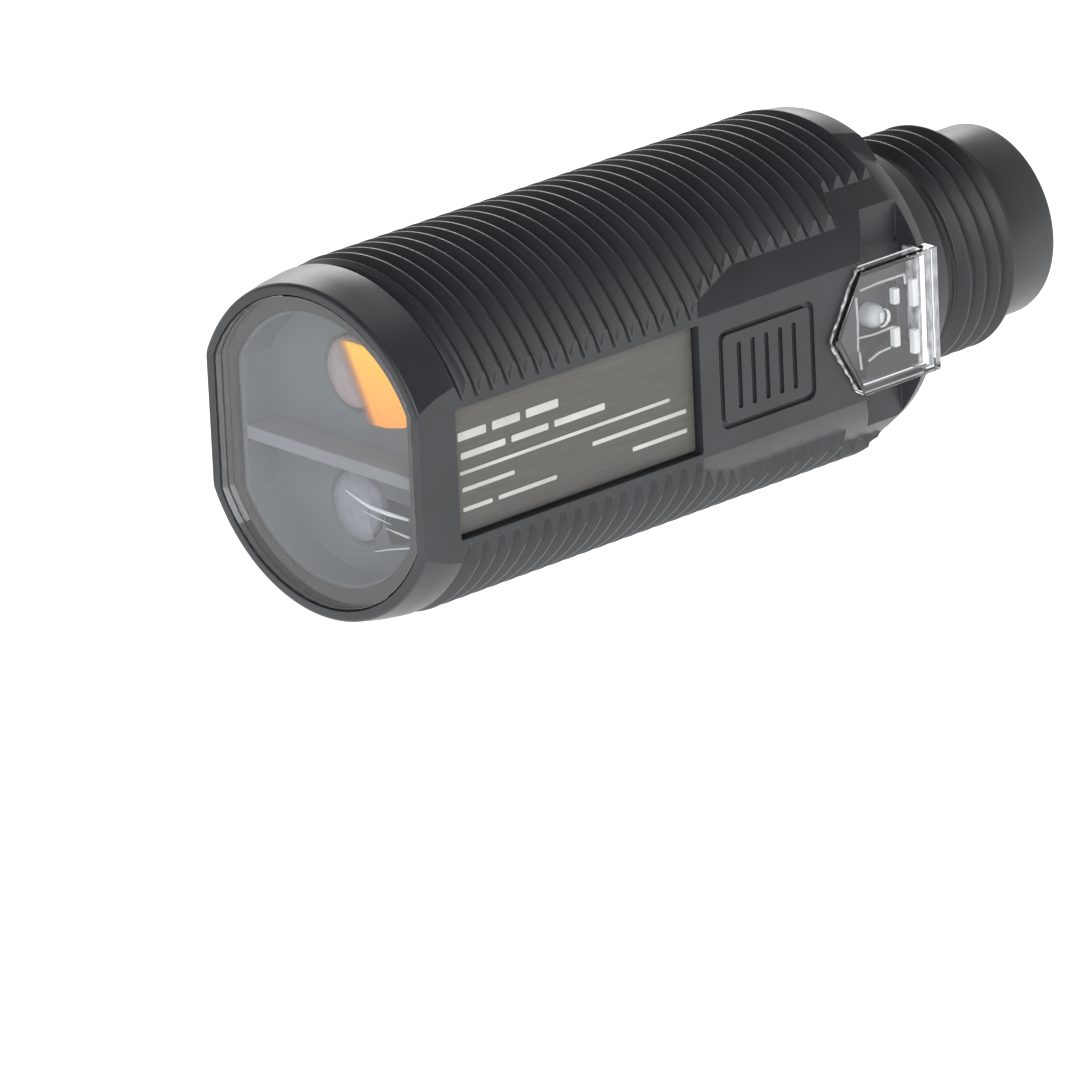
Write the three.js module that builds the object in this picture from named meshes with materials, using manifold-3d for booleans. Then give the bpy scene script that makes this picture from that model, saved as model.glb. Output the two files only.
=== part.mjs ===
// Cylindrical photoelectric sensor with an M18 barrel flattened on two sides and an M12 plug.
// The barrel axis runs along Y. The sensing face looks along -Y, the plug points along +Y and the
// flat with the label and the indicator faces +X. The origin is on the axis, at the middle of the
// barrel thread. Stations along the barrel are given as distances behind the sensing face.
import * as THREE from 'three';
import { mergeVertices } from 'three/addons/utils/BufferGeometryUtils.js';
import Module from 'manifold-3d';

const wasm = await Module();
wasm.setup();

// ---------------------------------------------------------------- driving dimensions, millimetres
const FRONT_FACE = -17.6;          // sensing face, measured from the middle of the thread
const PITCH = 1.0;                 // M18 x 1 and M12 x 1
const BARREL_CREST = 8.88;
const BARREL_ROOT = 8.36;
const BARREL_LENGTH = 33.9;
const HALF_ACROSS_FLATS = 7.55;
const RIM_RADIUS = 8.42;
const BORE_RADIUS = 7.2;
const BORE_FLAT = 6.2;
const SEAT_RADIUS = 7.86;
const SEAT_FLAT = 7.06;
const SEAT_DEPTH = 1.5;
const FIT = 0.06;                  // clearance between pieces pushed into one another
const PLUG_CREST = 5.82;
const PLUG_ROOT = 5.28;
const SLEEVE_RADIUS = 4.93;
const SOCKET_RADIUS = 4.25;
const TOTAL_LENGTH = 45.2;
const LENS_RADIUS = 1.8;
const LENS_HEIGHT = 3.4;           // emitter lens above the axis, receiver lens below it
const LENS_PLANE = 3.15;
const PIN_CIRCLE = 2.5;
const PIN_RADIUS = 0.5;
const ROUND = 40;                  // segments around the barrel
const PLUG_ROUND = 32;             // segments around the plug
const ROOT_STEP = 0.02;            // keeps the thread root just outside the core it stands on
const SMALL_ROUND = 24;            // segments around small turned pieces

// ---------------------------------------------------------------- geometry helpers
const alongBarrel = (station) => FRONT_FACE + station;

function solidFrom(geometry) {
  const bare = geometry.clone();
  bare.deleteAttribute('normal');
  bare.deleteAttribute('uv');
  const merged = mergeVertices(bare, 1e-5);
  return new wasm.Manifold(new wasm.Mesh({
    numProp: 3,
    vertProperties: new Float32Array(merged.attributes.position.array),
    triVerts: new Uint32Array(merged.index.array),
  }));
}

function geometryFrom(solid) {
  const mesh = solid.getMesh();
  const geometry = new THREE.BufferGeometry();
  geometry.setAttribute('position', new THREE.BufferAttribute(mesh.vertProperties, mesh.numProp));
  geometry.setIndex(new THREE.BufferAttribute(mesh.triVerts, 1));
  geometry.computeVertexNormals();
  return geometry;
}

// Box between two corners, the Y values given as stations behind the sensing face.
function block(x, station, z) {
  const geometry = new THREE.BoxGeometry(x[1] - x[0], station[1] - station[0], z[1] - z[0]);
  geometry.translate((x[0] + x[1]) / 2, alongBarrel((station[0] + station[1]) / 2), (z[0] + z[1]) / 2);
  return geometry;
}

// Turned piece about the barrel axis, or about a parallel axis at x, z. The profile lists
// [radius, station] pairs and starts and ends on the axis.
function turned(profile, segments = ROUND, x = 0, z = 0) {
  const points = profile.map(([radius, station]) => new THREE.Vector2(radius, alongBarrel(station)));
  const geometry = new THREE.LatheGeometry(points, segments);
  geometry.translate(x, 0, z);
  return geometry;
}

// Outline of a round section cut flat on the left and on the right.
function flattedOutline(radius, flat) {
  const corner = Math.acos(flat / radius);
  const shape = new THREE.Shape();
  shape.absarc(0, 0, radius, corner, Math.PI - corner, false);
  shape.absarc(0, 0, radius, Math.PI + corner, 2 * Math.PI - corner, false);
  shape.closePath();
  return shape;
}

// Section in the XZ plane pushed along Y between two stations.
function pushedAlongY(shape, station, curveSegments = 16) {
  const depth = station[1] - station[0];
  const geometry = new THREE.ExtrudeGeometry(shape, { depth, bevelEnabled: false, curveSegments });
  geometry.rotateX(Math.PI / 2);
  geometry.translate(0, alongBarrel(station[1]), 0);
  return geometry;
}

// Outline of [station, z] corners in the YZ plane pushed along X.
function pushedAlongX(corners, x) {
  const shape = new THREE.Shape(corners.map(([station, z]) => new THREE.Vector2(alongBarrel(station), z)));
  const geometry = new THREE.ExtrudeGeometry(shape, { depth: x[1] - x[0], bevelEnabled: false });
  const turn = new THREE.Matrix4().makeBasis(
    new THREE.Vector3(0, 1, 0),
    new THREE.Vector3(0, 0, 1),
    new THREE.Vector3(1, 0, 0),
  );
  geometry.applyMatrix4(turn);
  geometry.translate(x[0], 0, 0);
  return geometry;
}

// Right-hand screw thread as one closed body: each turn has a crest row and a root row, and the
// end of a turn joins the start of the next one.
function screwBody(crest, root, firstStation, turns, columns) {
  const rowsPerTurn = 2;
  const rows = turns * rowsPerTurn;
  const positions = [];
  const numberOf = new Map();
  const vertex = (column, row) => {
    if (column === columns) return vertex(0, row + rowsPerTurn);
    const key = `${column},${row}`;
    if (!numberOf.has(key)) {
      const angle = -2 * Math.PI * column / columns;
      const radius = row % rowsPerTurn === 0 ? crest : root;
      const station = firstStation + PITCH * (row / rowsPerTurn + column / columns);
      numberOf.set(key, positions.length / 3);
      positions.push(radius * Math.cos(angle), alongBarrel(station), radius * Math.sin(angle));
    }
    return numberOf.get(key);
  };
  const triangles = [];
  for (let column = 0; column < columns; column += 1) {
    for (let row = 0; row < rows; row += 1) {
      const near = vertex(column, row);
      const far = vertex(column + 1, row + 1);
      triangles.push(near, vertex(column + 1, row), far, near, far, vertex(column, row + 1));
    }
  }
  const capCentre = (station) => {
    positions.push(0, alongBarrel(station), 0);
    return positions.length / 3 - 1;
  };
  const startCentre = capCentre(firstStation - PITCH);
  for (let column = 0; column < columns; column += 1) {
    triangles.push(vertex(column + 1, 0), vertex(column, 0), startCentre);
  }
  for (let row = 0; row < rowsPerTurn; row += 1) {
    triangles.push(vertex(0, row), vertex(0, row + 1), startCentre);
  }
  const endCentre = capCentre(firstStation + PITCH * (turns + 2));
  for (let column = 0; column < columns; column += 1) {
    triangles.push(vertex(column, rows), vertex(column + 1, rows), endCentre);
  }
  for (let row = rows; row < rows + rowsPerTurn; row += 1) {
    triangles.push(vertex(0, row + 1), vertex(0, row), endCentre);
  }
  const geometry = new THREE.BufferGeometry();
  geometry.setAttribute('position', new THREE.Float32BufferAttribute(positions, 3));
  geometry.setIndex(triangles);
  return geometry;
}

const part = new THREE.Group();

function addPiece(name, geometry, colour, roughness, metalness = 0, opacity = 1) {
  const material = new THREE.MeshStandardMaterial({ color: colour, roughness, metalness });
  material.name = `${name}_material`;
  material.transparent = opacity < 1;
  material.opacity = opacity;
  const mesh = new THREE.Mesh(geometry, material);
  mesh.name = name;
  part.add(mesh);
}

// ---------------------------------------------------------------- threaded barrel
const RIM_EDGE = 0.2;               // rounding of the front rim
const THREAD_START = 2.7;
const THREAD_END = 32.5;
const THREAD_RUNOUT = 0.4;          // length over which the thread rises to its full height
const FIRST_CREST = 0.4;
const TURNS = 33;
const LABEL_RECESS = { x: 6.95, station: [2.4, 18.35], z: [-3.35, 3.25] };
const POCKET_FLOOR = BORE_FLAT;
const POCKET_HALF_HEIGHT = 5.65;
const INDICATOR = { tip: 27.0, shoulder: 28.9, rear: 34.1, halfHeight: 3.2, top: 7.95 };
const INDICATOR_GAP = 0.1;
const OUTSIDE = 10;                 // reaches clear of the barrel on every side
const PANEL = { station: [19.6, 26.0], half: 2.55, groove: 0.3, depth: 0.22 };
const CROSS_GROOVES = { count: 5, first: 20.8, step: 0.92, half: 1.7 };

// Half widths [station, x] to which the thread is planed down beside the flats.
const THREAD_RELIEF = [[18.3, 7.57], [18.4, 7.25], [21.6, 6.52], [28.85, 6.52], [29.1, 5.15], [34, 5.15]];

// Raised collar behind the thread, [radius, station], and the [x, z] outline that its ends follow.
const REAR_COLLAR = [[0, 31.9], [BARREL_ROOT, 31.9], [8.8, 32.2], [8.66, 33.5], [8.42, 33.85], [0, 33.85]];
const COLLAR_OUTLINE = [
  [4.2, 6.9], [2.0, 9.13], [-2.0, 9.13], [-4.2, 6.9], [-4.2, -6.9], [-2.0, -9.13], [2.0, -9.13], [4.2, -6.9],
];

// Half outline [station, z] of the recesses above and below the indicator, and the [station, x]
// section of the wall that closes them at the rear.
const SIDE_POCKET = [[28.9, 2.0], [28.9, 3.3], [29.2, 3.45], [30.6, POCKET_HALF_HEIGHT],
  [34, POCKET_HALF_HEIGHT], [34, 2.0]];
const POCKET_SECTION = [[28, POCKET_FLOOR], [33.0, POCKET_FLOOR], [33.6, OUTSIDE], [28, OUTSIDE]];

function outlineShape(corners) {
  return new THREE.Shape(corners.map(([first, second]) => new THREE.Vector2(first, second)));
}

// Outline of [station, x] corners in the XY plane pushed along Z.
function pushedAlongZ(corners, z) {
  const shape = outlineShape(corners.map(([station, x]) => [x, alongBarrel(station)]));
  const geometry = new THREE.ExtrudeGeometry(shape, { depth: z[1] - z[0], bevelEnabled: false });
  geometry.translate(0, 0, z[0]);
  return geometry;
}

function barrelThread() {
  const crest = BARREL_CREST + 0.05;
  const envelope = solidFrom(turned([
    [0, THREAD_START], [BARREL_ROOT + 0.1, THREAD_START], [crest, THREAD_START + 0.7],
    [crest, THREAD_END - THREAD_RUNOUT], [BARREL_ROOT - 0.1, THREAD_END], [0, THREAD_END],
  ]));
  let thread = solidFrom(screwBody(BARREL_CREST, BARREL_ROOT + ROOT_STEP, FIRST_CREST, TURNS, ROUND))
    .intersect(envelope);
  for (const side of [-1, 1]) {
    const planed = [...THREAD_RELIEF, [34, OUTSIDE], [THREAD_RELIEF[0][0], OUTSIDE]];
    const relief = planed.map(([station, x]) => [station, side * x]);
    thread = thread.subtract(solidFrom(pushedAlongZ(relief, [-OUTSIDE, OUTSIDE])));
  }
  return thread;
}

function barrelHousing() {
  const core = solidFrom(turned([
    [0, 0], [RIM_RADIUS - RIM_EDGE, 0], [RIM_RADIUS, RIM_EDGE], [BARREL_CREST - 0.12, 2.45],
    [BARREL_ROOT, 2.8], [BARREL_ROOT, 32.6], [8.0, BARREL_LENGTH - 0.1], [7.9, BARREL_LENGTH],
    [0, BARREL_LENGTH],
  ]));
  const collar = solidFrom(turned(REAR_COLLAR))
    .intersect(solidFrom(pushedAlongY(outlineShape(COLLAR_OUTLINE), [31, BARREL_LENGTH])));
  const flats = solidFrom(block(
    [-HALF_ACROSS_FLATS, HALF_ACROSS_FLATS], [-1, BARREL_LENGTH + 1], [-OUTSIDE, OUTSIDE],
  ));
  let barrel = core.add(barrelThread()).add(collar).intersect(flats);

  const coverSeat = [
    [INDICATOR.tip - INDICATOR_GAP, 0],
    [INDICATOR.shoulder - INDICATOR_GAP, -INDICATOR.halfHeight - INDICATOR_GAP],
    [BARREL_LENGTH + 1, -INDICATOR.halfHeight - INDICATOR_GAP],
    [BARREL_LENGTH + 1, INDICATOR.halfHeight + INDICATOR_GAP],
    [INDICATOR.shoulder - INDICATOR_GAP, INDICATOR.halfHeight + INDICATOR_GAP],
  ];
  const cuts = [
    pushedAlongY(flattedOutline(SEAT_RADIUS, SEAT_FLAT), [-1, SEAT_DEPTH]),
    pushedAlongY(flattedOutline(BORE_RADIUS, BORE_FLAT), [SEAT_DEPTH - 0.5, BARREL_LENGTH + 1]),
    block([LABEL_RECESS.x, OUTSIDE], LABEL_RECESS.station, LABEL_RECESS.z),
    pushedAlongX(coverSeat, [POCKET_FLOOR, OUTSIDE]),
    ...panelGrooves(),
  ];
  for (const cut of cuts) barrel = barrel.subtract(solidFrom(cut));

  const pocketSection = solidFrom(pushedAlongZ(POCKET_SECTION, [-OUTSIDE, OUTSIDE]));
  for (const side of [-1, 1]) {
    const outline = SIDE_POCKET.map(([station, z]) => [station, side * z]);
    if (side < 0) outline.reverse();
    const pocket = solidFrom(pushedAlongX(outline, [POCKET_FLOOR, OUTSIDE])).intersect(pocketSection);
    barrel = barrel.subtract(pocket);
  }
  return geometryFrom(barrel);
}

// Plain engraved panel: an oblong groove around five short cross grooves.
function panelGrooves() {
  const depth = [HALF_ACROSS_FLATS - PANEL.depth, OUTSIDE];
  const { station, half, groove } = PANEL;
  const grooves = [];
  for (const z of [-half, half - groove]) grooves.push(block(depth, station, [z, z + groove]));
  for (const first of [station[0], station[1] - groove]) {
    grooves.push(block(depth, [first, first + groove], [-half, half]));
  }
  for (let number = 0; number < CROSS_GROOVES.count; number += 1) {
    const first = CROSS_GROOVES.first + CROSS_GROOVES.step * number;
    grooves.push(block(depth, [first, first + groove], [-CROSS_GROOVES.half, CROSS_GROOVES.half]));
  }
  return grooves;
}

addPiece('barrel_housing', barrelHousing(), 0x1c1c1e, 0.55);

// ---------------------------------------------------------------- sensing face and optics
function flattedPlate(radius, flat, station) {
  return pushedAlongY(flattedOutline(radius, flat), station);
}

function flattedRing(outer, inner, station) {
  const body = solidFrom(flattedPlate(outer[0], outer[1], station));
  const hole = solidFrom(flattedPlate(inner[0], inner[1], [station[0] - 1, station[1] + 1]));
  return geometryFrom(body.subtract(hole));
}

const plateOuter = [SEAT_RADIUS - FIT, SEAT_FLAT - FIT];
addPiece('front_window', flattedPlate(...plateOuter, [0.05, 0.95]), 0x9aa0a8, 0.05, 0, 0.35);
addPiece('window_mask', flattedRing(plateOuter, [6.9, 6.15], [0.95, 1.2]), 0x2a2b2d, 0.6);
addPiece('window_gasket', flattedRing(plateOuter, [7.25, 6.45], [1.2, SEAT_DEPTH]), 0x101010, 0.9);

const CARRIER_FRONT = 1.3;
const CARRIER_BACK = 8.2;
const carrierOuter = [BORE_RADIUS - FIT, BORE_FLAT - FIT];

function opticsCarrier() {
  let carrier = solidFrom(flattedPlate(...carrierOuter, [CARRIER_FRONT, CARRIER_BACK]));
  carrier = carrier.subtract(solidFrom(flattedPlate(6.75, 5.85, [0, LENS_PLANE])));
  for (const side of [1, -1]) {
    const seat = turned([
      [0, 0], [LENS_RADIUS + FIT, 0], [LENS_RADIUS + FIT, 4.6], [1.4, 4.6], [1.4, 5.2],
      [2.3, 5.2], [2.3, 9], [0, 9],
    ], SMALL_ROUND, 0, side * LENS_HEIGHT);
    carrier = carrier.subtract(solidFrom(seat));
  }
  return geometryFrom(carrier);
}

addPiece('optics_carrier', opticsCarrier(), 0x63676d, 0.6);
addPiece('light_baffle', block([-5.8, 5.8], [1.25, LENS_PLANE], [-0.8, -0.1]), 0x9c9ea1, 0.55);

// Domed lens, its crown towards the sensing face.
function lens(z, crown) {
  const profile = [[0, 4.5], [LENS_RADIUS, 4.5], [LENS_RADIUS, LENS_PLANE]];
  const steps = 5;
  for (let step = 1; step <= steps; step += 1) {
    const angle = (Math.PI / 2) * (step / steps);
    profile.push([LENS_RADIUS * Math.cos(angle), LENS_PLANE - crown * Math.sin(angle)]);
  }
  profile[profile.length - 1][0] = 0;
  return turned(profile.reverse(), SMALL_ROUND, 0, z);
}

addPiece('emitter_lens', lens(LENS_HEIGHT, 0.3), 0xb9b3b6, 0.08, 0, 0.5);
addPiece('receiver_lens', lens(-LENS_HEIGHT, 0.45), 0xc4ccd2, 0.08, 0, 0.5);

function outlinePlate(corners, station) {
  return pushedAlongY(outlineShape(corners), station);
}

// Coloured sheet with a rounded outer edge, in front of the emitter lens.
addPiece('emitter_filter', outlinePlate([
  [-1.0, 5.3], [0.9, 1.4], [3.26, 1.54], [4.55, 1.84], [4.72, 2.1], [4.7, 2.7], [4.45, 3.3],
  [3.8, 4.1], [3.1, 4.8], [2.4, 5.3],
], [2.25, 2.45]), 0xffa53c, 0.3, 0, 0.8);

// Clear wedge beside the receiver lens, with a prong that reaches in front of the lens.
function receiverPrism() {
  const wedgeOutline = [[1.75, -2.5], [4.9, -2.6], [4.95, -4.1], [2.3, -4.95]];
  const prongOutline = [[0.4, -2.15], [0.42, -2.3], [1.9, -2.9], [1.9, -2.51]];
  const wedge = solidFrom(outlinePlate(wedgeOutline, [2.0, LENS_PLANE]));
  const prong = solidFrom(outlinePlate(prongOutline, [2.0, 2.3]));
  return geometryFrom(wedge.add(prong));
}

addPiece('receiver_prism', receiverPrism(), 0xd5dbe0, 0.05, 0, 0.4);

addPiece('emitter_diode', turned([
  [0, 5.4], [0.9, 5.7], [1.2, 6.3], [1.25, CARRIER_BACK], [0, CARRIER_BACK],
], SMALL_ROUND, 0, LENS_HEIGHT), 0xe0a060, 0.2);
addPiece('receiver_chip', block([-1.4, 1.4], [7.2, CARRIER_BACK], [-4.6, -2.2]), 0x202228, 0.3);
addPiece('optics_board', flattedPlate(6.9, 5.9, [CARRIER_BACK, 9.0]), 0x1f5d3a, 0.5);

// ---------------------------------------------------------------- electronics
addPiece('main_board', block([-0.5, 0.5], [9.0, 27.2], [-5.2, 5.2]), 0x1f5d3a, 0.5);
addPiece('controller_chip', block([0.5, 1.5], [11, 15], [-2, 2]), 0x17181a, 0.4);
addPiece('output_driver', block([0.5, 1.9], [19, 22], [-3.4, -0.4]), 0x17181a, 0.4);
addPiece('supply_regulator', block([-2.0, -0.5], [12, 16], [-2.6, 0.8]), 0x17181a, 0.4);
addPiece('storage_capacitor', block([0.5, 2.4], [16.3, 18.1], [0.8, 4.2]), 0xb88a3a, 0.5);

// ---------------------------------------------------------------- indicator
const CARRIER_TOP = 6.3;
const LED_STATION = 31.2;

function indicatorWindow() {
  const outline = [
    [INDICATOR.tip, 0], [INDICATOR.shoulder, -INDICATOR.halfHeight],
    [INDICATOR.rear, -INDICATOR.halfHeight], [INDICATOR.rear, INDICATOR.halfHeight],
    [INDICATOR.shoulder, INDICATOR.halfHeight],
  ];
  const plate = solidFrom(pushedAlongX(outline, [7.05, INDICATOR.top]));
  const skirt = solidFrom(block([POCKET_FLOOR, 7.5], [33.3, INDICATOR.rear], [-3.1, 3.1]));
  return geometryFrom(plate.add(skirt));
}

addPiece('indicator_window', indicatorWindow(), 0xe8ecef, 0.05, 0, 0.35);

function ledCarrier() {
  const base = solidFrom(block([4.9, CARRIER_TOP], [28.4, 33.2], [-2.4, 2.4]));
  const well = solidFrom(block([5.6, 8], [29.8, 32.6], [-1.5, 1.5]));
  return geometryFrom(base.subtract(well));
}

addPiece('led_carrier', ledCarrier(), 0xa9adb0, 0.5);

function indicatorLed() {
  const radius = 0.62;
  const base = 5.6;
  const shoulder = 6.0;
  const points = [[0, base], [radius, base], [radius, shoulder]];
  const steps = 5;
  for (let step = 1; step < steps; step += 1) {
    const angle = (Math.PI / 2) * (step / steps);
    points.push([radius * Math.cos(angle), shoulder + radius * Math.sin(angle)]);
  }
  points.push([0, shoulder + radius]);
  const profile = points.map(([r, x]) => new THREE.Vector2(r, x));
  const geometry = new THREE.LatheGeometry(profile, SMALL_ROUND);
  geometry.rotateZ(-Math.PI / 2);
  geometry.translate(0, alongBarrel(LED_STATION), 0);
  return geometry;
}

addPiece('indicator_led', indicatorLed(), 0xf2f2ee, 0.15, 0, 0.8);

// ---------------------------------------------------------------- label
addPiece('label_plate', block(
  [LABEL_RECESS.x, LABEL_RECESS.x + 0.15],
  [LABEL_RECESS.station[0] + 0.1, LABEL_RECESS.station[1] - 0.1],
  [LABEL_RECESS.z[0] + 0.1, LABEL_RECESS.z[1] - 0.1],
), 0x585652, 0.5);

// ---------------------------------------------------------------- plug end
const FLANGE_FRONT = 28.0;
const SOCKET_FLOOR = 37.0;

function connectorBody() {
  const flange = solidFrom(flattedPlate(...carrierOuter, [FLANGE_FRONT, BARREL_LENGTH]));
  const neck = solidFrom(turned([
    [0, BARREL_LENGTH - 1], [PLUG_CREST, BARREL_LENGTH - 1], [PLUG_CREST, 36.9],
    [PLUG_ROOT - 0.1, 37.4], [PLUG_ROOT, 41.9], [SLEEVE_RADIUS, 42.1],
    [SLEEVE_RADIUS, TOTAL_LENGTH - 0.25], [SLEEVE_RADIUS - 0.2, TOTAL_LENGTH], [0, TOTAL_LENGTH],
  ], PLUG_ROUND));
  const envelope = solidFrom(turned([
    [0, 37.5], [PLUG_ROOT - 0.1, 37.5], [PLUG_CREST + 0.05, 38.0], [PLUG_CREST + 0.05, 41.5],
    [PLUG_ROOT - 0.1, 42.0], [0, 42.0],
  ], PLUG_ROUND));
  const thread = solidFrom(screwBody(PLUG_CREST, PLUG_ROOT + ROOT_STEP, 36.4, 7, PLUG_ROUND))
    .intersect(envelope);
  let body = flange.add(neck).add(thread);
  const socket = turned([
    [0, 34.6], [SOCKET_RADIUS, 34.6], [SOCKET_RADIUS, TOTAL_LENGTH + 1], [0, TOTAL_LENGTH + 1],
  ], PLUG_ROUND);
  const wiringWell = flattedPlate(4.3, 4.2, [FLANGE_FRONT - 1, 33.4]);
  const pinWay = turned([[0, 30], [3.4, 30], [3.4, 36], [0, 36]], PLUG_ROUND);
  const ledSeat = block([4.85, 9], [FLANGE_FRONT - 1, 33.25], [-2.45, 2.45]);
  for (const cut of [socket, wiringWell, pinWay, ledSeat]) body = body.subtract(solidFrom(cut));
  const key = solidFrom(block([-0.6, 0.6], [SOCKET_FLOOR + 0.3, TOTAL_LENGTH - 0.8], [3.55, 4.5]));
  return geometryFrom(body.add(key));
}

addPiece('connector_body', connectorBody(), 0x1a1a1c, 0.5);

addPiece('rear_seal', flattedRing(carrierOuter, [5.9, 5.3], [26.2, FLANGE_FRONT]), 0x0c0c0c, 0.9);

function contactCarrier() {
  let carrier = solidFrom(turned([
    [0, 34.6], [SOCKET_RADIUS - FIT, 34.6], [SOCKET_RADIUS - FIT, SOCKET_FLOOR], [0, SOCKET_FLOOR],
  ], PLUG_ROUND));
  for (const [x, z] of pinCentres()) {
    const hole = turned([[0, 30], [PIN_RADIUS + FIT, 30], [PIN_RADIUS + FIT, 40], [0, 40]], 12, x, z);
    carrier = carrier.subtract(solidFrom(hole));
  }
  return geometryFrom(carrier);
}

function pinCentres() {
  const centres = [];
  for (let pin = 0; pin < 4; pin += 1) {
    const angle = Math.PI / 4 + pin * Math.PI / 2;
    centres.push([PIN_CIRCLE * Math.cos(angle), PIN_CIRCLE * Math.sin(angle)]);
  }
  return centres;
}

addPiece('contact_carrier', contactCarrier(), 0x2b2c2e, 0.6);
pinCentres().forEach(([x, z], index) => {
  addPiece(`contact_pin_${index + 1}`, turned([
    [0, 31.2], [PIN_RADIUS, 31.2], [PIN_RADIUS, 43.2], [PIN_RADIUS * 0.5, 43.7], [0, 43.8],
  ], 12, x, z), 0xc9a24a, 0.25, 1);
});

export default part;
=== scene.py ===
"""Looks of a cylindrical photoelectric sensor: moulded barrel, window, optics, label, indicator, plug.

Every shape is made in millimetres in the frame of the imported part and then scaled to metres. Y runs
along the barrel from the sensing face to the plug, +X is the side with the label and the indicator,
and +Z is up. A station is a distance in millimetres behind the sensing face.
"""
import math
import random

import bmesh
import bpy
from mathutils import Matrix, Vector


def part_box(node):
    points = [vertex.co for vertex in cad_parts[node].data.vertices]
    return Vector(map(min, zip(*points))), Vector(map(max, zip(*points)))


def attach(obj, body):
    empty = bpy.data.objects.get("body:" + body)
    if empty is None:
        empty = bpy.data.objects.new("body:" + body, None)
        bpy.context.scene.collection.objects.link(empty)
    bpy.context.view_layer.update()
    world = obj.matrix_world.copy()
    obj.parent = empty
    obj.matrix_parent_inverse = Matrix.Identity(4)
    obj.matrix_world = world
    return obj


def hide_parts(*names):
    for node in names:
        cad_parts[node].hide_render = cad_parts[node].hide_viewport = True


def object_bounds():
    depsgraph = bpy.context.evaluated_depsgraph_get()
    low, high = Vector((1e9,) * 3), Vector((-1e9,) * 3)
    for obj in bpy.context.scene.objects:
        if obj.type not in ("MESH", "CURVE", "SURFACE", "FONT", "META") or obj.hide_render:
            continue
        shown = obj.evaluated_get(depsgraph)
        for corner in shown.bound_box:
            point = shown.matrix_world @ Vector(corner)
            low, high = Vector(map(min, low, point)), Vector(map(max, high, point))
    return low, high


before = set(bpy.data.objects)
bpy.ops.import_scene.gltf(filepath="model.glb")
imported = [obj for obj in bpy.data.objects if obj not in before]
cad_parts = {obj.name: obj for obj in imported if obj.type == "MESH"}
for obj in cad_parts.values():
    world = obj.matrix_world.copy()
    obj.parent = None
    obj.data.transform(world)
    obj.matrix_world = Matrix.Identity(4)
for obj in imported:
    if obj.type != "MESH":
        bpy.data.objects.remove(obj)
CAD_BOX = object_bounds()
MM = 0.001


def box_mm(node):
    """Lowest and highest corner of a CAD node in millimetres."""
    low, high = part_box(node)
    return low / MM, high / MM


# ------------------------ sizes read from the frame
HOUSING_LOW, HOUSING_HIGH = box_mm("barrel_housing")
PLUG_LOW, PLUG_HIGH = box_mm("connector_body")
LABEL_LOW, LABEL_HIGH = box_mm("label_plate")
COVER_LOW, COVER_HIGH = box_mm("indicator_window")
WINDOW_HIGH = box_mm("front_window")[1]
CARRIER_HIGH = box_mm("optics_carrier")[1]
FRONT_FACE = HOUSING_LOW.y
BARREL_LENGTH = HOUSING_HIGH.y - HOUSING_LOW.y
TOTAL_LENGTH = PLUG_HIGH.y - FRONT_FACE
HALF_ACROSS_FLATS = HOUSING_HIGH.x

# ------------------------ shared sizes, millimetres
PITCH = 1.0                       # of both threads
BARREL_CREST = 8.88               # radii of the barrel's thread
BARREL_ROOT = 8.36
OUTSIDE = 10                      # reaches clear of the barrel on every side
PAST_FRONT = -1                   # stations clear of the sensing face, the rear face and the barrel
PAST_REAR = 34
PAST_BARREL = 40
BARREL_SEGMENTS = 192
FINE_SEGMENTS = 64
ROUND_STEPS = 64                  # along each round side of a section with two flats
TUBE_SHARP = 60                   # degrees, so that thin beads stay smooth


def at(station):
    """Y of a station, a distance behind the sensing face."""
    return FRONT_FACE + station


def stations(node):
    """First and last station of a CAD node."""
    low, high = box_mm(node)
    return low.y - FRONT_FACE, high.y - FRONT_FACE


# ------------------------ mesh helpers, millimetres
def mesh_object(name, vertices, faces):
    """Object in the scene from corners and faces, with its faces turned outwards."""
    mesh = bpy.data.meshes.new(name)
    mesh.from_pydata(vertices, [], faces)
    mesh.validate()
    shape = bmesh.new()
    shape.from_mesh(mesh)
    bmesh.ops.recalc_face_normals(shape, faces=shape.faces)
    shape.to_mesh(mesh)
    shape.free()
    obj = bpy.data.objects.new(name, mesh)
    bpy.context.scene.collection.objects.link(obj)
    return obj


def turned(name, profile, segments=128, centre=(0.0, 0.0)):
    """Closed body turned about a line along Y. The profile lists (radius, station) from axis to axis."""
    vertices = []
    rings = []
    for radius, station in profile:
        if radius < 1e-6:
            vertices.append((centre[0], at(station), centre[1]))
            rings.append([len(vertices) - 1])
            continue
        ring = []
        for step in range(segments):
            angle = 2 * math.pi * step / segments
            x = centre[0] + radius * math.cos(angle)
            z = centre[1] + radius * math.sin(angle)
            vertices.append((x, at(station), z))
            ring.append(len(vertices) - 1)
        rings.append(ring)
    faces = []
    for near, far in zip(rings, rings[1:]):
        for step in range(segments):
            after = (step + 1) % segments
            if len(near) == 1 and len(far) == 1:
                continue
            if len(near) == 1:
                faces.append((near[0], far[after], far[step]))
            elif len(far) == 1:
                faces.append((near[step], near[after], far[0]))
            else:
                faces.append((near[step], near[after], far[after], far[step]))
    return mesh_object(name, vertices, faces)


def pushed(name, outline, low, high, place):
    """Outline of (a, b) corners pushed from low to high. place(a, b, c) gives the point."""
    count = len(outline)
    vertices = [place(a, b, low) for a, b in outline] + [place(a, b, high) for a, b in outline]
    faces = [tuple(range(count)), tuple(range(2 * count - 1, count - 1, -1))]
    for step in range(count):
        after = (step + 1) % count
        faces.append((step, after, count + after, count + step))
    return mesh_object(name, vertices, faces)


def along_y(name, outline, first, last):
    """Outline of (x, z) corners pushed along the barrel between two stations."""
    return pushed(name, outline, first, last, lambda x, z, station: (x, at(station), z))


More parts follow.
